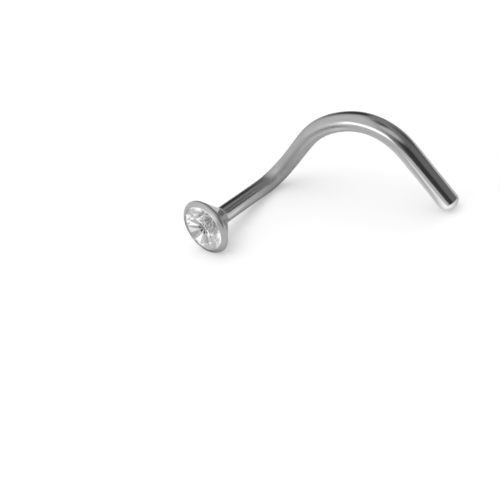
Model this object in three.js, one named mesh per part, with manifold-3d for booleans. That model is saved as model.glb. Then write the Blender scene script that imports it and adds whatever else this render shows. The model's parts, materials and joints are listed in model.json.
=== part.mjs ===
// A nose stud of the screw kind, in millimetres, +Z up.
// A round faceted stone sits in a metal cup whose lip is rubbed over its edge. A wire post is soldered
// to the back of the cup, and its far end is bent into an arched hook that lies inside the nostril.
// The stud is first made with its post along +Y and the stone facing -Y, its rim in the plane y = 0.
// It is then laid down on its rim, its bend and its tip, with the origin at the bottom centre of its
// box, the stone still facing -Y and the hook reaching along +X.
import * as THREE from 'three';
import { ConvexGeometry } from 'three/addons/geometries/ConvexGeometry.js';
import { mergeVertices } from 'three/addons/utils/BufferGeometryUtils.js';
import Module from 'manifold-3d';

const wasm = await Module();
wasm.setup();

// The stone, a round brilliant cut. The girdle is its widest ring.
const GIRDLE_RADIUS = 1.12;
const GIRDLE_FRONT = -0.01;
const GIRDLE_THICKNESS = 0.05;
const TABLE_RADIUS = 0.63;
const STAR_RADIUS = 0.87;
const LOWER_HALF_RADIUS = 0.25;
const CROWN_SLOPE = Math.tan(THREE.MathUtils.degToRad(34));
const PAVILION_SLOPE = Math.tan(THREE.MathUtils.degToRad(40.5));
const MAIN_FACETS = 8;

// The cup, a cone with a short upright wall, a rounded rim and a lip that slopes in over the girdle.
// Depths are measured back from the rim's plane.
const CUP_RADIUS = 1.27;
const WALL_BACK = 0.09;
const WALL_FRONT = 0.05;
const RIM_ROUNDING = 0.045;
const LIP_START_HEIGHT = 0.03;
const LIP_RADIUS = 1.05;
const LIP_HEIGHT = 0.13;
const NECK_DEPTH = 1.09;
const SOLDER_DEPTH = 1.3;
const SOLDER_INSET = 0.01;
const SEAT_GAP = 0.02;
const SEAT_MOUTH = 1;
const CUP_SEGMENTS = 56;
const CURVE_DIVISIONS = 4;

// The wire of the post and hook. Each row runs straight, rolls the wire about its own length, and
// bends it through an angle round a given radius, as it is done with round-nosed pliers.
const WIRE_RADIUS = 0.4;
const WIRE_START = 0.9;
const BENDS = [
  { run: 3.27, roll: 0, radius: 0.83, angle: 77.9 },
  { run: 0, roll: 0, radius: 3.2, angle: 20.6 },
  { run: 1.59, roll: 96.3, radius: 4.21, angle: 41.3 },
  { run: 0, roll: 0, radius: 2.45, angle: 59 },
  { run: 2.62, roll: 0, radius: 0, angle: 0 },
];
const WIRE_SIDES = 20;
const WIRE_STEPS = 80;

// The wire's rounded tip, a low dome with a rounded edge, a hair thinner than the wire.
const TIP_RADIUS = 0.395;
const TIP_HEIGHT = 0.27;
const TIP_EDGE_RADIUS = 0.35;
const TIP_EDGE_HEIGHT = 0.12;
const TIP_OVERLAP = 0.2;

// Laying the stud down: how near the bend's middle its corners count, and how many passes are made.
const BEND_REACH = 1.5;
const SETTLING_PASSES = 12;

// An arc that starts at a point and turns about an axis through a centre.
class BendArc extends THREE.Curve {
  constructor(start, centre, axis, angle) {
    super();
    this.spoke = start.clone().sub(centre);
    this.centre = centre;
    this.axis = axis;
    this.angle = angle;
  }

  getPoint(t, target = new THREE.Vector3()) {
    return target.copy(this.spoke).applyAxisAngle(this.axis, t * this.angle).add(this.centre);
  }
}

// The centre line of the wire, with the heading and the place of its far end.
function bendWire(rows) {
  const line = new THREE.CurvePath();
  const heading = new THREE.Vector3(0, 1, 0);
  const axis = new THREE.Vector3(0, 0, -1);
  let end = new THREE.Vector3(0, WIRE_START, 0);
  for (const { run, roll, radius, angle } of rows) {
    const start = end.clone().addScaledVector(heading, run);
    if (run > 0) {
      line.add(new THREE.LineCurve3(end, start));
    }
    end = start;
    axis.applyAxisAngle(heading, THREE.MathUtils.degToRad(roll));
    if (angle > 0) {
      const turn = THREE.MathUtils.degToRad(angle);
      const centre = axis.clone().cross(heading).multiplyScalar(radius).add(start);
      const arc = new BendArc(start, centre, axis.clone(), turn);
      line.add(arc);
      heading.applyAxisAngle(axis, turn);
      end = arc.getPoint(1);
    }
  }
  return { line, heading, end };
}

// A manifold-3d solid of a closed three.js geometry.
function solid(geometry) {
  const bare = geometry.clone().deleteAttribute('normal').deleteAttribute('uv');
  const merged = mergeVertices(bare, 1e-5);
  const vertProperties = Float32Array.from(merged.attributes.position.array);
  const triVerts = Uint32Array.from(merged.index.array);
  return new wasm.Manifold(new wasm.Mesh({ numProp: 3, vertProperties, triVerts }));
}

// The three.js geometry of a manifold-3d solid.
function geometryOf(body) {
  const { vertProperties, triVerts } = body.getMesh();
  const geometry = new THREE.BufferGeometry();
  geometry.setAttribute('position', new THREE.BufferAttribute(vertProperties, 3));
  geometry.setIndex(new THREE.BufferAttribute(triVerts, 1));
  const facets = geometry.toNonIndexed();
  facets.computeVertexNormals();
  return facets;
}

// A solid turned about the Y axis. Its profile of radius and depth runs from the axis back to the axis
// in the direction of +Y, so that its faces point outwards.
function turned(profile, segments) {
  return solid(new THREE.LatheGeometry(profile.getPoints(CURVE_DIVISIONS), segments));
}

// The outside of the cup, filled in at the front: its back cone ends inside the wire.
function cupBlank() {
  const profile = new THREE.Path();
  profile.moveTo(0, -LIP_HEIGHT);
  profile.lineTo(LIP_RADIUS, -LIP_HEIGHT);
  profile.lineTo(CUP_RADIUS - RIM_ROUNDING, -LIP_START_HEIGHT);
  profile.quadraticCurveTo(CUP_RADIUS, 0, CUP_RADIUS, WALL_FRONT);
  profile.lineTo(CUP_RADIUS, WALL_BACK);
  profile.lineTo(WIRE_RADIUS - SOLDER_INSET, NECK_DEPTH + SOLDER_INSET);
  profile.lineTo(0, SOLDER_DEPTH);
  return turned(profile, CUP_SEGMENTS);
}

// The hollow that the stone is dropped into, a gap larger than the stone, open at the front.
function stoneSeat() {
  const seatRadius = GIRDLE_RADIUS + SEAT_GAP;
  const seatBack = GIRDLE_FRONT + GIRDLE_THICKNESS + SEAT_GAP;
  const underLip = GIRDLE_FRONT - SEAT_GAP;
  const profile = new THREE.Path();
  profile.moveTo(0, -SEAT_MOUTH);
  profile.lineTo(LIP_RADIUS, -SEAT_MOUTH);
  profile.lineTo(LIP_RADIUS, underLip - (seatRadius - LIP_RADIUS) * CROWN_SLOPE);
  profile.lineTo(seatRadius, underLip);
  profile.lineTo(seatRadius, seatBack);
  profile.lineTo(0, seatBack + seatRadius * PAVILION_SLOPE);
  return turned(profile, CUP_SEGMENTS);
}

// The wire's rounded tip, which starts inside the wire.
function wireTip(heading, end) {
  const profile = new THREE.Path();
  profile.moveTo(0, -TIP_OVERLAP);
  profile.lineTo(TIP_RADIUS, -TIP_OVERLAP);
  profile.lineTo(TIP_RADIUS, 0);
  profile.quadraticCurveTo(TIP_RADIUS, TIP_EDGE_HEIGHT / 2, TIP_EDGE_RADIUS, TIP_EDGE_HEIGHT);
  profile.quadraticCurveTo(TIP_EDGE_RADIUS / 2, TIP_HEIGHT, 0, TIP_HEIGHT);
  const geometry = new THREE.LatheGeometry(profile.getPoints(CURVE_DIVISIONS), WIRE_SIDES);
  const up = new THREE.Vector3(0, 1, 0);
  geometry.applyQuaternion(new THREE.Quaternion().setFromUnitVectors(up, heading));
  geometry.translate(end.x, end.y, end.z);
  return solid(geometry);
}

// The wire, a round section carried along its centre line.
function wireBody(line) {
  const section = new THREE.Shape().absarc(0, 0, WIRE_RADIUS, 0, Math.PI * 2);
  const options = { steps: WIRE_STEPS, curveSegments: WIRE_SIDES / 2, extrudePath: line };
  return solid(new THREE.ExtrudeGeometry(section, options));
}

// The cup and the wire, soldered into one piece.
function settingAndPost({ line, heading, end }) {
  const cup = cupBlank();
  const joined = cup.add(wireBody(line)).add(wireTip(heading, end));
  const material = new THREE.MeshStandardMaterial({ color: 0xc9c9c9, roughness: 0.08, metalness: 1 });
  const mesh = new THREE.Mesh(geometryOf(joined.subtract(stoneSeat())), material);
  mesh.name = 'setting_and_post';
  return mesh;
}

// A ring of points round the Y axis, the first at a given turn.
function ring(radius, y, count, turn) {
  return Array.from({ length: count }, (_, i) => {
    const angle = turn + (i * 2 * Math.PI) / count;
    return new THREE.Vector3(radius * Math.cos(angle), y, radius * Math.sin(angle));
  });
}

// The stone: the hull of its table, star, girdle and lower-half corners and its culet is the cut
// stone with all its facets flat. The star and lower-half corners lie on the main facets' planes.
function stone() {
  const half = Math.PI / MAIN_FACETS;
  const inset = Math.cos(half);
  const front = (radius) => GIRDLE_FRONT - (GIRDLE_RADIUS - radius) * CROWN_SLOPE;
  const girdleBack = GIRDLE_FRONT + GIRDLE_THICKNESS;
  const back = (radius) => girdleBack + (GIRDLE_RADIUS - radius) * PAVILION_SLOPE;
  const corners = [
    ...ring(TABLE_RADIUS, front(TABLE_RADIUS), MAIN_FACETS, 0),
    ...ring(STAR_RADIUS, front(STAR_RADIUS * inset), MAIN_FACETS, half),
    ...ring(GIRDLE_RADIUS, GIRDLE_FRONT, 2 * MAIN_FACETS, 0),
    ...ring(GIRDLE_RADIUS, girdleBack, 2 * MAIN_FACETS, 0),
    ...ring(LOWER_HALF_RADIUS, back(LOWER_HALF_RADIUS * inset), MAIN_FACETS, half),
    new THREE.Vector3(0, back(0), 0),
  ];
  const material = new THREE.MeshStandardMaterial({ color: 0xffffff, roughness: 0.02, metalness: 0 });
  const mesh = new THREE.Mesh(new ConvexGeometry(corners), material);
  mesh.name = 'stone';
  return mesh;
}

// The corners of a mesh that satisfy a test.
function cornersOf(mesh, test) {
  const position = mesh.geometry.attributes.position;
  const corners = Array.from({ length: position.count }, (_, i) =>
    new THREE.Vector3().fromBufferAttribute(position, i));
  return corners.filter(test);
}

// The way down when the stud rests on one corner of each place: each pass takes the lowest corner of
// each place for the last way down, and the plane through the three gives the next.
function restingDown(places, firstDown) {
  const down = firstDown.clone();
  const lowest = (corners) => corners.reduce((a, b) => (b.dot(down) > a.dot(down) ? b : a));
  for (let pass = 0; pass < SETTLING_PASSES; pass += 1) {
    const floor = new THREE.Plane().setFromCoplanarPoints(...places.map(lowest));
    down.copy(floor.normal).multiplyScalar(Math.sign(floor.normal.dot(down)));
  }
  return down;
}

// The stud, laid down with its stone facing -Y and its box's bottom centre at the origin.
function noseStud() {
  const wire = bendWire(BENDS);
  const metal = settingAndPost(wire);
  const stud = new THREE.Group();
  stud.name = 'nose_stud';
  stud.add(metal, stone());

  const bend = wire.line.curves[1].getPoint(0.5);
  const rimCorners = cornersOf(metal, (p) => p.y < NECK_DEPTH);
  const bendCorners = cornersOf(metal, (p) => p.distanceTo(bend) < BEND_REACH);
  const tipCorners = cornersOf(metal, (p) => p.distanceTo(wire.end) < 2 * WIRE_RADIUS);
  const firstDown = new THREE.Vector3(0, 0, -1);
  const down = restingDown([rimCorners, bendCorners, tipCorners], firstDown);

  const z = down.clone().negate();
  const y = new THREE.Vector3(0, 1, 0).projectOnPlane(z).normalize();
  const x = y.clone().cross(z);
  stud.quaternion.setFromRotationMatrix(new THREE.Matrix4().makeBasis(x, y, z).transpose());
  const box = new THREE.Box3().setFromObject(stud, true);
  stud.position.set(-(box.min.x + box.max.x) / 2, -(box.min.y + box.max.y) / 2, -box.min.z);

  const part = new THREE.Group();
  part.add(stud);
  return part;
}

export default noseStud();
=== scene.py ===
import json
import math

import bpy
import numpy as np
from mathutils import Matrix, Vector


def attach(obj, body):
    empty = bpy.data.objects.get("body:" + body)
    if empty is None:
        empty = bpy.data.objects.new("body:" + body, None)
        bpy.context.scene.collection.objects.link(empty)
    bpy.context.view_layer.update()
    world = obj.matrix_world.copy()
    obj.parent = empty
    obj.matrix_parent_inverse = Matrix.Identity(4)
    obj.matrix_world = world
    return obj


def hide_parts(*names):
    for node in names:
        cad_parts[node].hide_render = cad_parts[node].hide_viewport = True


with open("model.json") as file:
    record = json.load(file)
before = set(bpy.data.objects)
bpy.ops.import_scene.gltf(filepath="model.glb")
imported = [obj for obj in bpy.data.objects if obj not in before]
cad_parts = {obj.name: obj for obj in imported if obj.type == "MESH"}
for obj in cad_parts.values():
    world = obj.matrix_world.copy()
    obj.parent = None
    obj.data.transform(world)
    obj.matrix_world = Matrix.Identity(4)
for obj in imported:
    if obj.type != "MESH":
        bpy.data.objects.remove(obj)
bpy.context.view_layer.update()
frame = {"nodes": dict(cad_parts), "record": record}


# ---------------------------------------------------------------------------------------------------
# The bezel cup: a cone of polished white metal, turned on a lathe, with a thin upright wall whose lip
# is burnished in over the stone's edge. Inside it is cut to a conical seat that the stone drops into.
# ---------------------------------------------------------------------------------------------------
MM = 0.001

# The rim's centre lies behind the middle of the stone's table, and back runs along the post.
TABLE_HEIGHT = 0.3405 * MM
stone_table = next(m for m in frame["record"]["mounts"] if m["name"] == "stone_table")
outward = np.array(stone_table["axis"])
back = -outward / np.linalg.norm(outward)
rim_centre = np.array(stone_table["pos_m"]) + TABLE_HEIGHT * back

# The hook is turned about the post by this angle from level.
HOOK_TURN = math.radians(42.17)
level = np.cross(back, (0.0, 0.0, 1.0))
level /= np.linalg.norm(level)
across = math.cos(HOOK_TURN) * level + math.sin(HOOK_TURN) * np.cross(level, back)
upright = np.cross(across, back)

# The corners of the cup's section: radius, depth back from the rim's plane, and the rounding.
CUP_CORNERS = np.array([
    (0.00, 1.034, 0.0),     # bottom of the seat
    (1.14, 0.060, 0.01),    # mouth of the seat's cone
    (1.14, -0.030, 0.01),   # under the lip
    (1.05, -0.091, 0.005),  # lip's inner edge, on the stone
    (1.05, -0.130, 0.012),  # lip's inner edge, in front
    (1.245, -0.020, 0.12),  # lip's outer edge
    (1.27, 0.030, 0.08),    # front of the wall
    (1.27, 0.090, 0.05),    # back of the wall
    (0.42, 1.065, 0.22),    # foot of the cone, where the solder runs on to the post
    (0.39, 1.360, 0.01),    # end of the solder
    (0.00, 1.450, 0.0),     # inside the post
])
CUP_STEP = 0.06
CUP_SIDES = 192

# White metal: its two shades, the height in the marks at which hairlines show, and its polish.
PALE_METAL = (0.66, 0.66, 0.665, 1)
DARK_METAL = (0.40, 0.40, 0.405, 1)
HAIRLINES_FROM, HAIRLINES_FULL = 0.60, 0.72
HAIRLINE_DARKNESS, HAZE_DARKNESS = 0.5, 0.3
HAZE_SCALE = 1.7
POLISH_ROUGHNESS = 0.07
HAZE_ROUGHNESS = 0.10
MARK_STRENGTH = 0.12
HAZE_HEIGHT = 0.4
MARK_DEPTH = 0.01 * MM

# The lip was burnished by hand and is left duller, as millimetres along the cup's section.
CUP_DULLED = [{"middle": 1.95, "reach": 0.5, "roughness": 0.20}]


def place(points):
    """Points given as across, back and upright millimetres from the rim's centre, in the part's frame:
    the rim's centre plus each number times its direction."""
    return rim_centre + MM * points @ np.array([across, back, upright])


def rounded(corners, radii, steps=7):
    """A profile whose corners are arcs: each arc has the radius given and touches both sides of its
    corner at the distance radius over the tangent of half the corner's angle."""
    out = [corners[:1]]
    for before, corner, after, radius in zip(corners, corners[1:], corners[2:], radii):
        one, two = before - corner, after - corner
        one, two = one / np.linalg.norm(one), two / np.linalg.norm(two)
        half = math.acos(np.clip(one @ two, -1, 1)) / 2
        middle = (one + two) / np.linalg.norm(one + two)
        centre = corner + middle * radius / math.sin(half)
        side = (two - one) / np.linalg.norm(two - one)
        turn = np.linspace(-1, 1, steps)[:, None] * (math.pi / 2 - half)
        out.append(centre + radius * (side * np.sin(turn) - middle * np.cos(turn)))
    out.append(corners[-1:])
    return np.concatenate(out)


def spread(profile, step):
    """The same profile with points added, so that no two neighbours are further apart than the step,
    and each point's length along it."""
    length = np.r_[0, np.cumsum(np.linalg.norm(np.diff(profile, axis=0), axis=1))]
    stations = np.concatenate([
        np.linspace(a, b, max(2, math.ceil((b - a) / step) + 1))[:-1]
        for a, b in zip(length, length[1:])] + [length[-1:]])
    return np.stack([np.interp(stations, length, side) for side in profile.T], axis=1), stations


def skin(name, rings, rest):
    """A closed mesh over rings of points: neighbouring rings are joined by four-cornered faces, and the
    first and last rings, which are single points, are closed by fans of triangles. The attribute rest
    holds each point's two places across the piece and its length along it, in millimetres, as they
    were before the metal was bent, for marks that follow the surface."""
    count, sides = rings.shape[:2]
    points = np.concatenate([rings[:1, 0], rings[1:-1].reshape(-1, 3), rings[-1:, 0]])
    place_before = np.concatenate([rest[:1, 0], rest[1:-1].reshape(-1, 3), rest[-1:, 0]])
    inner = 1 + np.arange((count - 2) * sides).reshape(count - 2, sides)
    turned = np.roll(inner, -1, axis=1)
    quads = np.stack([inner[:-1], turned[:-1], turned[1:], inner[1:]], axis=-1).reshape(-1, 4)
    last = len(points) - 1
    first_fan = np.stack([np.zeros(sides, int), turned[0], inner[0]], axis=-1)
    last_fan = np.stack([np.full(sides, last), inner[-1], turned[-1]], axis=-1)
    mesh = bpy.data.meshes.new(name)
    mesh.from_pydata(points, [], quads.tolist() + first_fan.tolist() + last_fan.tolist())
    mesh.attributes.new("rest", "FLOAT_VECTOR", "POINT")
    mesh.attributes["rest"].data.foreach_set("vector", place_before.astype(np.float32).ravel())
    mesh.shade_smooth()
    piece = bpy.data.objects.new(name, mesh)
    bpy.context.scene.collection.objects.link(piece)
    return piece


class Signal:
    """One socket of a shader tree. Sums and products of signals are written as Python expressions, and
    node() adds any other node."""

    def __init__(self, tree, socket=None):
        self.tree, self.socket = tree, socket

    def node(self, kind, settings=None, inputs=None, output=0):
        """Adds a node: its settings first, then its sockets, each a number, a colour or a signal."""
        new = self.tree.nodes.new(kind)
        for name, value in (settings or {}).items():
            if name == "stops":
                for element, (position, shade) in zip(new.color_ramp.elements, value):
                    element.position, element.color = position, (shade, shade, shade, 1)
            else:
                setattr(new, name, value)
        for key, value in (inputs or {}).items():
            if isinstance(value, Signal):
                value.feed(new, key)
            else:
                new.inputs[key].default_value = value
        return Signal(self.tree, new.outputs[output])

    def feed(self, node, key):
        """Joins this signal to a socket of a node in the tree."""
        self.tree.links.new(self.socket, node.inputs[key])

    def maths(self, operation, other=0.0):
        """A Math node whose first number is this signal."""
        return self.node("ShaderNodeMath", {"operation": operation}, {0: self, 1: other})

    def vector(self, operation, inputs, output=0):
        """A Vector Math node."""
        return self.node("ShaderNodeVectorMath", {"operation": operation}, inputs, output)

    def fade(self, outer, inner):
        """0 where this signal is at outer or past it, and 1 at inner, with a smooth step between."""
        smooth = {"interpolation_type": "SMOOTHSTEP"}
        return self.node("ShaderNodeMapRange", smooth, {0: self, 1: outer, 2: inner})

    def __add__(self, other):
        return self.maths("ADD", other)

    def __mul__(self, other):
        return self.maths("MULTIPLY", other)

    def __sub__(self, other):
        return self.maths("SUBTRACT", other)

    def __rsub__(self, other):
        return self.node("ShaderNodeMath", {"operation": "SUBTRACT"}, {0: other, 1: self})

    __radd__, __rmul__ = __add__, __mul__


def material(name):
    """A new material: its shader tree as a signal, and its main shader node, joined to the output."""
    made = bpy.data.materials.new(name)
    made.use_nodes = True
    return made, Signal(made.node_tree), made.node_tree.nodes["Principled BSDF"]


def polished_metal(name, across_scale, along_scale, dulled):
    """White metal, drawn or turned and then polished: faint marks run one way, with a soft haze and a
    few hairlines. The two scales say how fine the marks are across the piece and along it. Each dulled
    stretch fades from its middle over its reach, and is where the polish was missed."""
    made, tree, shader = material(name)
    rest = tree.node("ShaderNodeAttribute", {"attribute_name": "rest"}, output=1)
    stretched = tree.vector("MULTIPLY", {0: rest, 1: (across_scale, across_scale, along_scale)})
    marks = tree.node("ShaderNodeTexNoise", {"noise_dimensions": "3D"},
                      {"Vector": stretched, "Scale": 1.0, "Detail": 4.0, "Roughness": 0.6})
    haze = tree.node("ShaderNodeTexNoise", {"noise_dimensions": "3D"},
                     {"Vector": rest, "Scale": HAZE_SCALE, "Detail": 3.0})
    hairlines = tree.node("ShaderNodeValToRGB", {"stops": [(HAIRLINES_FROM, 0.0), (HAIRLINES_FULL, 1.0)]},
                          {"Fac": marks})
    darkness = hairlines * HAIRLINE_DARKNESS + haze * HAZE_DARKNESS
    shade = tree.node("ShaderNodeMix", {"data_type": "RGBA"},
                      {0: darkness, 6: PALE_METAL, 7: DARK_METAL}, output=2)
    shade.feed(shader, "Base Color")
    height = marks + haze * HAZE_HEIGHT
    bump = tree.node("ShaderNodeBump", {},
                     {"Strength": MARK_STRENGTH, "Distance": MARK_DEPTH, "Height": height})
    bump.feed(shader, "Normal")
    length = tree.node("ShaderNodeSeparateXYZ", {}, {0: rest}, output=2)
    roughness = haze * HAZE_ROUGHNESS + POLISH_ROUGHNESS
    for stretch in dulled:
        off = (length - stretch["middle"]).maths("ABSOLUTE")
        roughness = roughness + off.fade(stretch["reach"], 0.0) * stretch["roughness"]
    roughness.feed(shader, "Roughness")
    shader.inputs["Metallic"].default_value = 1.0
    return made


def turned_cup():
    """The cup as a surface of revolution: the profile of radius and depth, carried round the post's
    axis. It starts at the bottom of the seat and ends inside the post."""
    profile, length = spread(rounded(CUP_CORNERS[:, :2], CUP_CORNERS[1:-1, 2]), CUP_STEP)
    angle = np.linspace(0, 2 * math.pi, CUP_SIDES, endpoint=False)
    radius, depth = profile[:, :1], profile[:, 1:] + 0 * angle
    rings = np.stack([radius * np.cos(angle), depth, radius * np.sin(angle)], axis=-1)
    rest = np.stack([radius * np.cos(angle), radius * np.sin(angle), length[:, None] + 0 * angle], axis=-1)
    return skin("bezel_cup", place(rings), rest)


cup = turned_cup()
cup.data.materials.append(polished_metal("turned white metal", 1.2, 9.0, CUP_DULLED))
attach(cup, "root")
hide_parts("setting_and_post")


# ---------------------------------------------------------------------------------------------------
# The stone: a clear, colourless round brilliant with a flat table, held by its girdle under the lip.
# Its facets are ground flat and polished, so the cut solid's own faces are kept as they are. Its back
# is silvered, with painted glints, painted dark arrows and a painted glow, and its crown is a little worn.
# ---------------------------------------------------------------------------------------------------
GIRDLE_BACK = 0.042 * MM
TABLE_RADIUS = 0.60 * MM
CROWN_WEAR = 0.21
REFRACTION = 2.42
CLEAR = (1, 1, 1, 1)
CLEAR_TINT = (0.96, 0.97, 0.98, 1)
POLISHING_LINE_SCALE = 2500.0

# Eight dark arrows of painted shade: their length from the culet, half their angle, and their turn about
# the axis.
ARROW_COUNT = 8
ARROW_LENGTH = 0.28 * MM
ARROW_HALF_ANGLE = math.radians(12)
ARROW_TURN = 0.1
PAINTED_ARROW_DARKNESS = 0.97

# The silvering: its painted glints, which step its brightness from facet to facet, its sheen and its
# painted glow.
PAINTED_GLINT_MEAN, PAINTED_GLINT_SWING = 0.62, 0.34
PAINTED_GLINT_ACROSS, PAINTED_GLINT_UPRIGHT = 9.0, 13.0
SILVER_SHEEN = 0.4
PAINTED_GLOW = 1.02
SILVER_ROUGHNESS = 0.22


def cut_stone():
    """Clear stone in front of the girdle and silvering behind it. The silvering glows with painted light,
    apart from eight narrow dark arrows of painted shade on the main facets: near the culet, and close to a
    multiple of an eighth of a turn about the stone's axis. Its brightness also steps from facet to facet as
    painted glints, by the sine of the facet's tilt. The clear table is smooth, and the crown round it is
    softly worn."""
    made, tree, shader = material("clear stone with painted glow and glints")
    place_on = tree.node("ShaderNodeTexCoord", output=3)

    def along(vector, direction):
        return tree.vector("DOT_PRODUCT", {0: vector, 1: direction.tolist()}, output=1)

    from_rim = tree.vector("SUBTRACT", {0: place_on, 1: rim_centre.tolist()})
    sideways = tree.vector("CROSS_PRODUCT", {0: from_rim, 1: back.tolist()})
    radius = tree.vector("LENGTH", {0: sideways}, output=1)
    turn = along(from_rim, upright).maths("ARCTAN2", along(from_rim, across))

    lines = tree.node("ShaderNodeTexNoise", {"noise_dimensions": "3D"},
                      {"Vector": place_on, "Scale": POLISHING_LINE_SCALE, "Detail": 2.0})
    tint = tree.node("ShaderNodeMix", {"data_type": "RGBA"}, {0: lines, 6: CLEAR, 7: CLEAR_TINT}, output=2)
    tint.feed(shader, "Base Color")
    crown = radius.maths("GREATER_THAN", TABLE_RADIUS)
    (crown * CROWN_WEAR).feed(shader, "Roughness")
    shader.inputs["IOR"].default_value = REFRACTION
    shader.inputs["Transmission Weight"].default_value = 1.0

    # Painted shade: eight dark arrows on the silvering stand in for the dark star that the facets mirror.
    off_arrow = (turn + (ARROW_TURN + 2 * math.pi)).maths("PINGPONG", math.pi / ARROW_COUNT)
    painted_arrow_shade = off_arrow.maths("LESS_THAN", ARROW_HALF_ANGLE) * radius.maths("LESS_THAN", ARROW_LENGTH)
    # Painted glints: the silvering's brightness steps with each facet's tilt, standing in for the light the
    # facets catch.
    tilt = tree.node("ShaderNodeNewGeometry", output=3)
    painted_glint_wave = along(tilt, across) * PAINTED_GLINT_ACROSS + along(tilt, upright) * PAINTED_GLINT_UPRIGHT
    painted_glints_glow_and_arrows = (painted_glint_wave.maths("SINE") * PAINTED_GLINT_SWING + PAINTED_GLINT_MEAN) * (1 - painted_arrow_shade * PAINTED_ARROW_DARKNESS)
    # The silvering gives off a painted glow, though it is no lamp.
    foil_with_painted_glow = tree.node("ShaderNodeBsdfPrincipled", {},
                     {"Base Color": painted_glints_glow_and_arrows * SILVER_SHEEN, "Metallic": 1.0, "Roughness": SILVER_ROUGHNESS,
                      "Emission Color": painted_glints_glow_and_arrows, "Emission Strength": PAINTED_GLOW})
    behind = along(from_rim, back).maths("GREATER_THAN", GIRDLE_BACK)
    clear = Signal(tree.tree, shader.outputs[0])
    both = tree.node("ShaderNodeMixShader", {}, {0: behind, 1: clear, 2: foil_with_painted_glow})
    both.feed(made.node_tree.nodes["Material Output"], "Surface")
    return made


stone = frame["nodes"]["stone"]
stone.data.materials.clear()
stone.data.materials.append(cut_stone())


# ---------------------------------------------------------------------------------------------------
# The post and hook: drawn round wire, soldered to the back of the cup, bent twice with round-nosed
# pliers and cut off, with the cut end rounded so that it passes through the piercing.
# ---------------------------------------------------------------------------------------------------
WIRE_RADIUS = 0.4
WIRE_START = 1.05
WIRE_SIDES = 80
STATIONS_PER_MM = 36
BENDS = [
    {"run": 3.12, "roll": 0.0, "radius": 0.83, "angle": 77.9},
    {"run": 0.0, "roll": 0.0, "radius": 3.2, "angle": 20.6},
    {"run": 1.59, "roll": 96.3, "radius": 4.21, "angle": 41.3},
    {"run": 0.0, "roll": 0.0, "radius": 2.45, "angle": 59.0},
    {"run": 2.62, "roll": 0.0, "radius": 0.0, "angle": 0.0},
]

# How gently each bend starts and ends, in stations.
EASING = 9

# The pliers' jaws press the wire a little oval: where along it, over what reach, and by how much.
PRESSED_AT, PRESSED_REACH, PRESSED_BY = 4.1, 0.9, 0.05

# The cut end: its height, its width beside the wire's, and how square its dome is.
TIP_HEIGHT = 0.27
TIP_STATIONS = 16
TIP_WIDTH = 0.965
TIP_POWER = 0.57

# Waves of a few thousandths along and round the wire, as hand bending leaves it.
UNEVENNESS = [
    {"amount": 0.0030, "waves": 2.1, "start": 0.4, "lobes": 2, "turn": 0.8},
    {"amount": 0.0022, "waves": 3.7, "start": 1.9, "lobes": 3, "turn": 0.0},
    {"amount": 0.0016, "waves": 6.3, "start": 0.0, "lobes": 1, "turn": 1.1 - math.pi / 2},
]

# Dull stretches, as millimetres along the wire: the first bend, the rise behind it, and the cut end.
WIRE_DULLED = [
    {"middle": 4.3, "reach": 3.4, "roughness": 0.42},
    {"middle": 7.4, "reach": 3.2, "roughness": 0.36},
    {"middle": 15.55, "reach": 0.35, "roughness": 0.40},
]


def rotated(vector, axis, angles):
    """A vector turned about a unit axis by each of the angles: its part along the axis stays, and the
    rest swings round by cosine and sine."""
    angles = np.atleast_1d(angles)[:, None]
    along = axis * (vector @ axis)
    return along + np.cos(angles) * (vector - along) + np.sin(angles) * np.cross(axis, vector)


def eased(rows, reach):
    """A row of vectors in which each is averaged with its neighbours, weighted by a bell curve of the
    given reach in rows. Past its ends the row goes on as its own mirror image through the end."""
    steps = np.arange(-3 * reach, 3 * reach + 1)
    weights = np.exp(-(steps / reach) ** 2 / 2)
    longer = np.pad(rows, ((3 * reach, 3 * reach), (0, 0)), mode="reflect", reflect_type="odd")
    return np.stack([np.convolve(side, weights / weights.sum(), mode="valid") for side in longer.T], axis=1)


def bent_wire(bends):
    """The wire's centre line with a direction across it and one along it. Each row runs straight, rolls
    the bending axis about the wire, and turns the wire about that axis through an angle round its
    radius. The bends are then eased, because a real wire has no sudden change of curvature."""
    end, heading = np.array([0.0, WIRE_START, 0.0]), np.array([0.0, 1.0, 0.0])
    one, axis = np.array([1.0, 0.0, 0.0]), np.array([0.0, 0.0, -1.0])
    centres, ones, headings = [end[None]], [one[None]], [heading[None]]
    for row in bends:
        straight = np.linspace(0, row["run"], math.ceil(row["run"] * STATIONS_PER_MM) + 1)[1:, None]
        centres.append(end + straight * heading)
        ones.append(one + 0 * straight)
        headings.append(heading + 0 * straight)
        end = end + row["run"] * heading
        axis = rotated(axis, heading, math.radians(row["roll"]))[0]
        turn = math.radians(row["angle"])
        if turn:
            angles = np.linspace(0, turn, math.ceil(row["radius"] * turn * STATIONS_PER_MM) + 1)[1:]
            hub = end + row["radius"] * np.cross(axis, heading)
            centres.append(hub + rotated(end - hub, axis, angles))
            ones.append(rotated(one, axis, angles))
            headings.append(rotated(heading, axis, angles))
            end, one, heading = centres[-1][-1], ones[-1][-1], headings[-1][-1]
    centre, one, heading = (eased(np.concatenate(rows), EASING) for rows in (centres, ones, headings))
    heading /= np.linalg.norm(heading, axis=1)[:, None]
    one -= (one * heading).sum(axis=1)[:, None] * heading
    return centre, one / np.linalg.norm(one, axis=1)[:, None], heading


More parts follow.
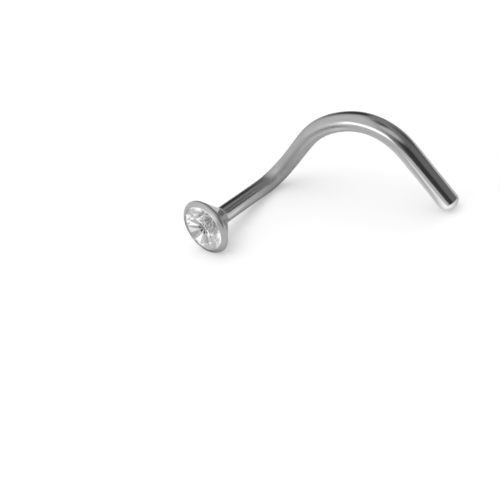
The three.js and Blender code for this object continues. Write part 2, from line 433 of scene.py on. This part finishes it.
def post_and_hook():
    """The wire's surface: a circle carried along the centre line. It is pressed to an oval by a bell
    curve at the first bend, and its radius swells and thins by small waves. It closes to a low dome at
    the tip: radius times one minus height squared, to a power near a half for a dome with an edge."""
    centre, one, heading = bent_wire(BENDS)
    other = np.cross(heading, one)
    length = np.r_[0, np.cumsum(np.linalg.norm(np.diff(centre, axis=0), axis=1))]

    rise = np.sin(np.linspace(0, math.pi / 2, TIP_STATIONS))[1:]
    scale = np.r_[0, np.ones(len(centre) - 1), TIP_WIDTH * (1 - rise ** 2) ** TIP_POWER]
    centre = np.concatenate([centre, centre[-1] + rise[:, None] * TIP_HEIGHT * heading[-1]])
    one, other = (np.concatenate([d, np.repeat(d[-1:], len(rise), axis=0)]) for d in (one, other))
    length = np.r_[length, length[-1] + rise * TIP_HEIGHT][:, None]

    angle = np.linspace(0, 2 * math.pi, WIRE_SIDES, endpoint=False)
    uneven = sum(row["amount"] * np.sin(row["waves"] * length + row["start"])
                 * np.cos(row["lobes"] * angle + row["turn"]) for row in UNEVENNESS)
    radius = WIRE_RADIUS * scale[:, None] * (1 - np.abs(uneven))
    pressed = PRESSED_BY * np.exp(-((length - PRESSED_AT) / PRESSED_REACH) ** 2)[..., None]
    around = ((1 - pressed) * np.cos(angle)[:, None] * one[:, None]
              + (1 + pressed) * np.sin(angle)[:, None] * other[:, None])
    rest = np.stack([radius * np.cos(angle), radius * np.sin(angle), length + 0 * angle], axis=-1)
    return skin("post_and_hook", place(centre[:, None] + radius[..., None] * around), rest)


wire = post_and_hook()
wire.data.materials.append(polished_metal("drawn white metal", 14.0, 0.22, WIRE_DULLED))
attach(wire, "root")
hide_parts("setting_and_post")


# ---------------------------------------------------------------------------------------------------
# The table that the stud lies on: a flat pale sheet. Glowing strips and a dark patch are painted round
# the stud as painted reflections, for the metal alone to mirror.
# ---------------------------------------------------------------------------------------------------
TABLE_HALF = 400 * MM
TABLE_PAPER = (0.76, 0.76, 0.76, 1)
TABLE_ROUGHNESS = 0.9
TABLE_GLOW = 0.37
# Painted reflections: glowing strips on the table that only the metal mirrors, each a middle line from
# start to end in millimetres, its reach and its strength.
GLOWING_REFLECTION_STRIPS = [
    {"start": (4.9, 1.4), "end": (2.2, -5.4), "reach": 1.3, "strength": 0.65},
    {"start": (0.5, 1.4), "end": (3.2, 2.2), "reach": 1.8, "strength": 0.30},
    {"start": (-2.9, -1.2), "end": (-1.6, 0.9), "reach": 0.9, "strength": 0.35},
    {"start": (5.3, 1.2), "end": (6.5, 2.5), "reach": 1.6, "strength": 0.35},
]
# A painted dark reflection: a dark patch on the table that only the metal mirrors, with its middle and
# reach.
PAINTED_DARK_REFLECTION = (0.08, 0.08, 0.08, 1)
DARK_REFLECTION_MIDDLE = np.array([-6.6, -3.4, 0.0]) * MM
DARK_REFLECTION_REACH = 3.4 * MM


def pale_table():
    """A square sheet that glows a little towards the camera, so that the shadow on it stays faint. Each
    painted glowing strip, seen only in the metal's mirror, fades with the distance from its middle line,
    which is the length of the point's offset less its part along the strip. The painted dark patch, also
    seen only in the metal's mirror, fades with the distance from its middle."""
    corners = [(-TABLE_HALF, -TABLE_HALF, 0), (TABLE_HALF, -TABLE_HALF, 0),
               (TABLE_HALF, TABLE_HALF, 0), (-TABLE_HALF, TABLE_HALF, 0)]
    mesh = bpy.data.meshes.new("table")
    mesh.from_pydata(corners, [], [(0, 1, 2, 3)])
    table = bpy.data.objects.new("table", mesh)
    bpy.context.scene.collection.objects.link(table)
    made, tree, shader = material("pale table")
    looked_at = tree.node("ShaderNodeLightPath", output=0)
    mirrored = tree.node("ShaderNodeLightPath", output=3)
    place_on = tree.node("ShaderNodeTexCoord", output=3)
    floor_glow_and_painted_reflections = looked_at * TABLE_GLOW
    for strip in GLOWING_REFLECTION_STRIPS:
        start, end = (np.array([*strip[name], 0.0]) * MM for name in ("start", "end"))
        length = np.linalg.norm(end - start)
        way = (end - start) / length
        offset = tree.vector("SUBTRACT", {0: place_on, 1: start.tolist()})
        part = tree.vector("DOT_PRODUCT", {0: offset, 1: way.tolist()}, output=1)
        part = part.maths("MAXIMUM", 0.0).maths("MINIMUM", length)
        foot = tree.vector("SCALE", {0: way.tolist(), "Scale": part})
        away = tree.vector("DISTANCE", {0: offset, 1: foot}, output=1)
        # Each strip is painted light: it glows only for rays mirrored by the metal.
        floor_glow_and_painted_reflections = floor_glow_and_painted_reflections + away.fade(strip["reach"] * MM, 0.0) * mirrored * strip["strength"]
    floor_glow_and_painted_reflections.feed(shader, "Emission Color")
    # Painted shade: the table turns dark near this middle, but only for rays mirrored by the metal.
    off_dark_reflection = tree.vector("DISTANCE", {0: place_on, 1: DARK_REFLECTION_MIDDLE.tolist()}, output=1)
    painted_dark_reflection_mask = off_dark_reflection.fade(DARK_REFLECTION_REACH, DARK_REFLECTION_REACH / 2)
    table_colour_with_painted_dark = tree.node("ShaderNodeMix", {"data_type": "RGBA"},
                      {0: painted_dark_reflection_mask * mirrored, 6: TABLE_PAPER, 7: PAINTED_DARK_REFLECTION}, output=2)
    table_colour_with_painted_dark.feed(shader, "Base Color")
    shader.inputs["Roughness"].default_value = TABLE_ROUGHNESS
    shader.inputs["Specular IOR Level"].default_value = 0.0
    shader.inputs["Emission Strength"].default_value = 1.0
    table.data.materials.append(made)


pale_table()


# ---------------------------------------------------------------------------------------------------
# The studio: grey walls, paler to the left of the front and darker to the right and behind, a soft
# box low in front, and a wide light overhead that lights the table and isn't mirrored in the metal.
# ---------------------------------------------------------------------------------------------------
BACKDROP = 1.0
WALL_GREY = 0.27
WALL_DARKEST = 0.05

# Patches of the walls: each is full within the inner angle of its middle and gone at the outer one.
WALL_PATCHES = [
    {"azimuth": -62, "elevation": 34, "inner": 34, "outer": 70, "change": 0.42},
    {"azimuth": 48, "elevation": 50, "inner": 4, "outer": 26, "change": 0.38},
    {"azimuth": 45, "elevation": 10, "inner": 12, "outer": 36, "change": -0.14},
    {"azimuth": 148, "elevation": 24, "inner": 8, "outer": 26, "change": -0.10},
    {"azimuth": -139, "elevation": 33, "inner": 12, "outer": 28, "change": -0.30},
    {"azimuth": 110, "elevation": 78, "inner": 5, "outer": 16, "change": -0.16},
]

# The whole right side is darker, below the grey that is overhead.
RIGHT_SIDE = {"azimuth": 88, "elevation": 0, "inner": 50, "outer": 80}
OVERHEAD = {"azimuth": 0, "elevation": 90, "inner": 30, "outer": 60}
RIGHT_CHANGE = -0.08

# The low soft box: where it stands, its distance and sides in millimetres, and its brightness.
BOX_AZIMUTH, BOX_ELEVATION = -20, 12
BOX_DISTANCE, BOX_WIDTH, BOX_HEIGHT = 160 * MM, 130 * MM, 60 * MM
BOX_BRIGHTNESS = 1.2

OVERHEAD_ENERGY = 1.45
OVERHEAD_SPREAD = math.radians(80)
OVERHEAD_TILT = math.radians(-14)

# The metal mirrors itself between the cup and the hook, so light bounces many times.
MIRROR_BOUNCES = 12


def towards(azimuth, elevation):
    """The direction at an azimuth, from the front round to the right, and an elevation, in degrees."""
    a, e = math.radians(azimuth), math.radians(elevation)
    return np.array([math.sin(a) * math.cos(e), -math.cos(a) * math.cos(e), math.sin(e)])


def studio_walls():
    """The world, by direction: a grey changed by each patch, by the cosine of the angle from the patch's
    middle. The camera itself sees only a white backdrop."""
    world = bpy.data.worlds.new("studio")
    world.use_nodes = True
    tree = Signal(world.node_tree)
    direction = tree.node("ShaderNodeTexCoord", output=0)

    def facing(azimuth, elevation, inner, outer):
        middle = towards(azimuth, elevation).tolist()
        near = tree.vector("DOT_PRODUCT", {0: direction, 1: middle}, output=1)
        return near.fade(math.cos(math.radians(outer)), math.cos(math.radians(inner)))

    shade = facing(**RIGHT_SIDE) * (1 - facing(**OVERHEAD)) * RIGHT_CHANGE + WALL_GREY
    for patch in WALL_PATCHES:
        shape = {key: value for key, value in patch.items() if key != "change"}
        shade = shade + facing(**shape) * patch["change"]
    looked_at = tree.node("ShaderNodeLightPath", output=0)
    shade = tree.node("ShaderNodeMix", {"data_type": "FLOAT"},
                      {0: looked_at, 2: shade.maths("MAXIMUM", WALL_DARKEST), 3: BACKDROP})
    shade.feed(world.node_tree.nodes["Background"], "Color")
    bpy.context.scene.world = world


def soft_box():
    """A rectangular light aimed at the stud. Its power is its brightness times pi times its area."""
    direction = towards(BOX_AZIMUTH, BOX_ELEVATION)
    lamp = bpy.data.lights.new("low front light", "AREA")
    lamp.shape, lamp.size, lamp.size_y = "RECTANGLE", BOX_WIDTH, BOX_HEIGHT
    lamp.energy = BOX_BRIGHTNESS * math.pi * BOX_WIDTH * BOX_HEIGHT
    holder = bpy.data.objects.new("low front light", lamp)
    holder.location = direction * BOX_DISTANCE
    holder.rotation_euler = Vector(-direction).to_track_quat("-Z", "Y").to_euler()
    holder.visible_camera = False
    bpy.context.scene.collection.objects.link(holder)


def overhead_light():
    """A light as wide as most of the ceiling, so that the stud's shadow is soft."""
    lamp = bpy.data.lights.new("overhead light", "SUN")
    lamp.energy, lamp.angle = OVERHEAD_ENERGY, OVERHEAD_SPREAD
    holder = bpy.data.objects.new("overhead light", lamp)
    holder.rotation_euler = (OVERHEAD_TILT, 0, 0)
    holder.visible_glossy = False
    bpy.context.scene.collection.objects.link(holder)


studio_walls()
soft_box()
overhead_light()
bpy.context.scene.cycles.glossy_bounces = MIRROR_BOUNCES
bpy.context.scene.view_settings.view_transform = "Standard"


# ---------------------------------------------------------------------------------------------------
# The camera: in front, to the right and above, turned about its own axis so that the post slants up.
# ---------------------------------------------------------------------------------------------------
AIM = np.array([-2.176, -2.127, 0.0]) * MM
CAMERA_DISTANCE = 24.19 * MM
CAMERA_AZIMUTH, CAMERA_ELEVATION = 52.59, 36.85
CAMERA_ROLL = math.radians(24.29)
SENSOR_WIDTH, FOCAL_LENGTH = 36.0, 40.32
NEAREST, FURTHEST = 1 * MM, 2.0
toward = towards(CAMERA_AZIMUTH, CAMERA_ELEVATION)
lens = bpy.data.cameras.new("camera")
lens.sensor_width, lens.lens = SENSOR_WIDTH, FOCAL_LENGTH
lens.clip_start, lens.clip_end = NEAREST, FURTHEST
camera = bpy.data.objects.new("camera", lens)
camera.location = AIM + CAMERA_DISTANCE * toward
facing = Vector(-toward).to_track_quat("-Z", "Y")
camera.rotation_mode = "QUATERNION"
camera.rotation_quaternion = Matrix.Rotation(-CAMERA_ROLL, 4, toward.tolist()).to_quaternion() @ facing
bpy.context.scene.collection.objects.link(camera)
bpy.context.scene.camera = camera
